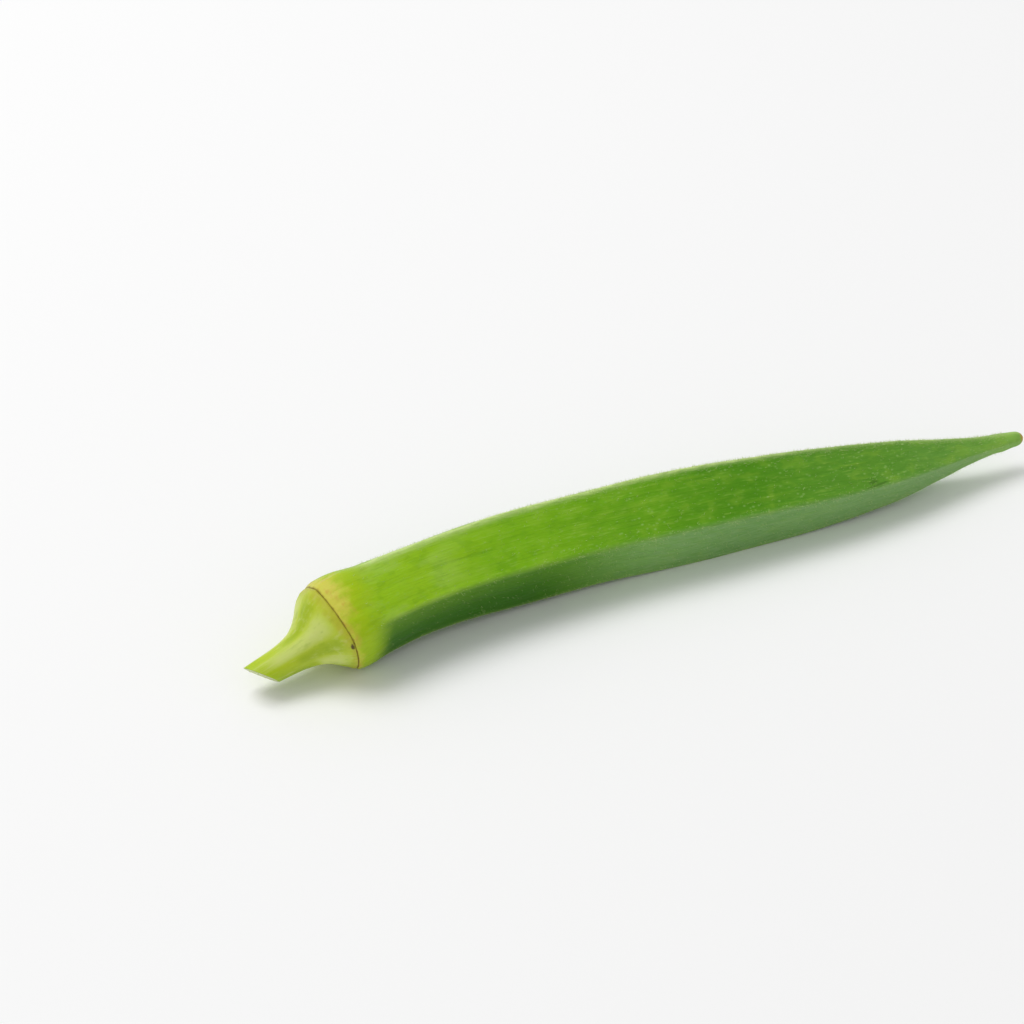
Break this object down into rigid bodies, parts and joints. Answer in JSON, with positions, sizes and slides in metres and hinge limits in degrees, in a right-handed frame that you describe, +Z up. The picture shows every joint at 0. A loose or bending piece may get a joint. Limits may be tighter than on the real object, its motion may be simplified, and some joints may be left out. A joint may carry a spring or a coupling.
{
  "type": "okra pod",
  "caption": "Fresh green okra pod with a ribbed body tapering to a blunt tip, and a pale flared cap on a short cut stem, lying on its side.",
  "frame": {"origin": "on the surface the pod lies on, under the middle of its bounding box", "axes": "+X from the cut stem to the tip, +Z up from the surface the pod lies on"},
  "size_m": [0.1504, 0.0206, 0.0168],
  "materials": {
    "pod_skin": "fresh green okra skin, satin with fine pale fuzz on the ribs",
    "stem_cap_skin": "pale yellow-green waxy skin, satin, with a pale fibrous cut end"
  },
  "bodies": {
    "root": {"pod": "pod_skin", "stem_cap": "stem_cap_skin"}
  },
  "joints": []
}
